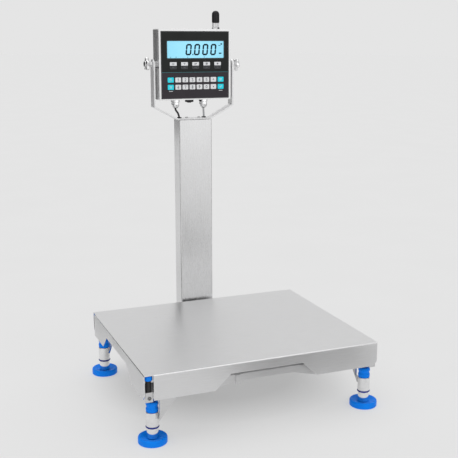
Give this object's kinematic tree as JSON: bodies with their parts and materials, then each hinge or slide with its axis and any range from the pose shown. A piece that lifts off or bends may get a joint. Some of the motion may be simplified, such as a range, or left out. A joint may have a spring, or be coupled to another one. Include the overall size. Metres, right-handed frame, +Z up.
{
  "type": "bench scale",
  "caption": "Washdown bench weighing scale: stainless platter on a base frame with levelling feet, and a rear column with a tilting indicator in a yoke.",
  "frame": {"origin": "Centre of the footprint's bounding box, on the floor under the foot pads.", "axes": "+Z up; +X to the right of a person facing the display; +Y to the back, towards the column. The display faces -Y."},
  "size_m": [0.62, 0.5964, 0.9768],
  "materials": {
    "steel": "brushed stainless sheet, fine straight grain",
    "polished_steel": "turned and polished stainless steel",
    "cell_aluminium": "machined",
    "blue_plastic": "smooth food-safe blue polymer",
    "black_plastic": "moulded black polymer",
    "panel_film": "printed polyester film with a fine texture",
    "display_glass": "backlit liquid crystal display",
    "circuit_green": "solder-masked board",
    "grey_cable": "smooth cable jacket",
    "white_key": "embossed printed key",
    "blue_key": "embossed printed key"
  },
  "bodies": {
    "base": {"base_frame": "steel", "spider": "steel", "load_cell": "cell_aluminium", "column": "steel", "column_bracket": "steel", "power_inlet": "black_plastic", "yoke": "steel", "foot_collar_front_left": "blue_plastic", "foot_collar_front_right": "blue_plastic", "foot_collar_rear_left": "blue_plastic", "foot_collar_rear_right": "blue_plastic", "bumper_front_left": "blue_plastic", "bumper_front_right": "blue_plastic", "bumper_rear_left": "blue_plastic", "bumper_rear_right": "blue_plastic", "signal_cable": "grey_cable", "supply_cable": "black_plastic"},
    "platter": {"platter": "steel"},
    "head": {"indicator_front_frame": "steel", "indicator_rear_shell": "steel", "keypad_panel": "panel_film", "lcd_display": "display_glass", "circuit_board": "circuit_green", "cable_gland_left": "polished_steel", "cable_gland_right": "polished_steel", "vent_plug": "black_plastic", "antenna": "black_plastic"},
    "knob_left": {"knob_left": "polished_steel"},
    "knob_right": {"knob_right": "polished_steel"},
    "foot_front_left": {"foot_pad_front_left": "blue_plastic"},
    "spindle_front_left": {"foot_spindle_front_left": "polished_steel"},
    "foot_front_right": {"foot_pad_front_right": "blue_plastic"},
    "spindle_front_right": {"foot_spindle_front_right": "polished_steel"},
    "foot_rear_left": {"foot_pad_rear_left": "blue_plastic"},
    "spindle_rear_left": {"foot_spindle_rear_left": "polished_steel"},
    "foot_rear_right": {"foot_pad_rear_right": "blue_plastic"},
    "spindle_rear_right": {"foot_spindle_rear_right": "polished_steel"},
    "function_key_1": {"function_key_1": "white_key"},
    "function_key_2": {"function_key_2": "white_key"},
    "function_key_3": {"function_key_3": "white_key"},
    "function_key_4": {"function_key_4": "white_key"},
    "function_key_5": {"function_key_5": "white_key"},
    "upper_key_1": {"upper_key_1": "white_key"},
    "upper_key_2": {"upper_key_2": "white_key"},
    "upper_key_3": {"upper_key_3": "white_key"},
    "upper_key_4": {"upper_key_4": "white_key"},
    "upper_key_5": {"upper_key_5": "white_key"},
    "upper_key_6": {"upper_key_6": "white_key"},
    "lower_key_1": {"lower_key_1": "white_key"},
    "lower_key_2": {"lower_key_2": "white_key"},
    "lower_key_3": {"lower_key_3": "white_key"},
    "lower_key_4": {"lower_key_4": "white_key"},
    "lower_key_5": {"lower_key_5": "white_key"},
    "lower_key_6": {"lower_key_6": "white_key"},
    "upper_left_blue_key": {"upper_left_blue_key": "blue_key"},
    "upper_right_blue_key": {"upper_right_blue_key": "blue_key"},
    "lower_left_blue_key": {"lower_left_blue_key": "blue_key"},
    "lower_right_blue_key": {"lower_right_blue_key": "blue_key"}
  },
  "joints": [
    {"name": "platter_lift", "type": "slide", "parent": "base", "child": "platter", "axis": [0, 0, 1], "range_m": [0, 0.1]},
    {"name": "head_tilt", "type": "hinge", "parent": "base", "child": "head", "pos_m": [0.0106, 0.25085, 0.833], "axis": [1, 0, 0], "range_deg": [-25, 15], "deforming": ["signal_cable", "supply_cable"]},
    {"name": "knob_left_turn", "type": "hinge", "parent": "head", "child": "knob_left", "pos_m": [-0.1094, 0.25085, 0.833], "axis": [-1, 0, 0], "continuous": true},
    {"name": "knob_right_turn", "type": "hinge", "parent": "head", "child": "knob_right", "pos_m": [0.1306, 0.25085, 0.833], "axis": [1, 0, 0], "continuous": true},
    {"name": "spindle_turn_front_left", "type": "hinge", "parent": "foot_front_left", "child": "spindle_front_left", "pos_m": [-0.276, -0.26415, 0.05], "axis": [0, 0, -1], "range_deg": [0, 2610]},
    {"name": "foot_height_front_left", "type": "slide", "parent": "base", "child": "foot_front_left", "axis": [0, 0, -1], "range_m": [0, 0.014]},
    {"name": "spindle_turn_front_right", "type": "hinge", "parent": "foot_front_right", "child": "spindle_front_right", "pos_m": [0.276, -0.26415, 0.05], "axis": [0, 0, -1], "range_deg": [0, 2610]},
    {"name": "foot_height_front_right", "type": "slide", "parent": "base", "child": "foot_front_right", "axis": [0, 0, -1], "range_m": [0, 0.014]},
    {"name": "spindle_turn_rear_left", "type": "hinge", "parent": "foot_rear_left", "child": "spindle_rear_left", "pos_m": [-0.276, 0.18785, 0.05], "axis": [0, 0, -1], "range_deg": [0, 2610]},
    {"name": "foot_height_rear_left", "type": "slide", "parent": "base", "child": "foot_rear_left", "axis": [0, 0, -1], "range_m": [0, 0.014]},
    {"name": "spindle_turn_rear_right", "type": "hinge", "parent": "foot_rear_right", "child": "spindle_rear_right", "pos_m": [0.276, 0.18785, 0.05], "axis": [0, 0, -1], "range_deg": [0, 2610]},
    {"name": "foot_height_rear_right", "type": "slide", "parent": "base", "child": "foot_rear_right", "axis": [0, 0, -1], "range_m": [0, 0.014]},
    {"name": "function_key_1_press", "type": "slide", "parent": "head", "child": "function_key_1", "axis": [0, 1, 0], "range_m": [0, 0.0005], "stiffness_N_per_m": 2000},
    {"name": "function_key_2_press", "type": "slide", "parent": "head", "child": "function_key_2", "axis": [0, 1, 0], "range_m": [0, 0.0005], "stiffness_N_per_m": 2000},
    {"name": "function_key_3_press", "type": "slide", "parent": "head", "child": "function_key_3", "axis": [0, 1, 0], "range_m": [0, 0.0005], "stiffness_N_per_m": 2000},
    {"name": "function_key_4_press", "type": "slide", "parent": "head", "child": "function_key_4", "axis": [0, 1, 0], "range_m": [0, 0.0005], "stiffness_N_per_m": 2000},
    {"name": "function_key_5_press", "type": "slide", "parent": "head", "child": "function_key_5", "axis": [0, 1, 0], "range_m": [0, 0.0005], "stiffness_N_per_m": 2000},
    {"name": "upper_key_1_press", "type": "slide", "parent": "head", "child": "upper_key_1", "axis": [0, 1, 0], "range_m": [0, 0.0005], "stiffness_N_per_m": 2000},
    {"name": "upper_key_2_press", "type": "slide", "parent": "head", "child": "upper_key_2", "axis": [0, 1, 0], "range_m": [0, 0.0005], "stiffness_N_per_m": 2000},
    {"name": "upper_key_3_press", "type": "slide", "parent": "head", "child": "upper_key_3", "axis": [0, 1, 0], "range_m": [0, 0.0005], "stiffness_N_per_m": 2000},
    {"name": "upper_key_4_press", "type": "slide", "parent": "head", "child": "upper_key_4", "axis": [0, 1, 0], "range_m": [0, 0.0005], "stiffness_N_per_m": 2000},
    {"name": "upper_key_5_press", "type": "slide", "parent": "head", "child": "upper_key_5", "axis": [0, 1, 0], "range_m": [0, 0.0005], "stiffness_N_per_m": 2000},
    {"name": "upper_key_6_press", "type": "slide", "parent": "head", "child": "upper_key_6", "axis": [0, 1, 0], "range_m": [0, 0.0005], "stiffness_N_per_m": 2000},
    {"name": "lower_key_1_press", "type": "slide", "parent": "head", "child": "lower_key_1", "axis": [0, 1, 0], "range_m": [0, 0.0005], "stiffness_N_per_m": 2000},
    {"name": "lower_key_2_press", "type": "slide", "parent": "head", "child": "lower_key_2", "axis": [0, 1, 0], "range_m": [0, 0.0005], "stiffness_N_per_m": 2000},
    {"name": "lower_key_3_press", "type": "slide", "parent": "head", "child": "lower_key_3", "axis": [0, 1, 0], "range_m": [0, 0.0005], "stiffness_N_per_m": 2000},
    {"name": "lower_key_4_press", "type": "slide", "parent": "head", "child": "lower_key_4", "axis": [0, 1, 0], "range_m": [0, 0.0005], "stiffness_N_per_m": 2000},
    {"name": "lower_key_5_press", "type": "slide", "parent": "head", "child": "lower_key_5", "axis": [0, 1, 0], "range_m": [0, 0.0005], "stiffness_N_per_m": 2000},
    {"name": "lower_key_6_press", "type": "slide", "parent": "head", "child": "lower_key_6", "axis": [0, 1, 0], "range_m": [0, 0.0005], "stiffness_N_per_m": 2000},
    {"name": "upper_left_blue_key_press", "type": "slide", "parent": "head", "child": "upper_left_blue_key", "axis": [0, 1, 0], "range_m": [0, 0.0005], "stiffness_N_per_m": 2000},
    {"name": "upper_right_blue_key_press", "type": "slide", "parent": "head", "child": "upper_right_blue_key", "axis": [0, 1, 0], "range_m": [0, 0.0005], "stiffness_N_per_m": 2000},
    {"name": "lower_left_blue_key_press", "type": "slide", "parent": "head", "child": "lower_left_blue_key", "axis": [0, 1, 0], "range_m": [0, 0.0005], "stiffness_N_per_m": 2000},
    {"name": "lower_right_blue_key_press", "type": "slide", "parent": "head", "child": "lower_right_blue_key", "axis": [0, 1, 0], "range_m": [0, 0.0005], "stiffness_N_per_m": 2000}
  ],
  "couplings": [
    {"joint": "spindle_turn_front_left", "follows": "foot_height_front_left", "rad_per_m": 3141.6},
    {"joint": "spindle_turn_front_right", "follows": "foot_height_front_right", "rad_per_m": 3141.6},
    {"joint": "spindle_turn_rear_left", "follows": "foot_height_rear_left", "rad_per_m": 3141.6},
    {"joint": "spindle_turn_rear_right", "follows": "foot_height_rear_right", "rad_per_m": 3141.6}
  ]
}
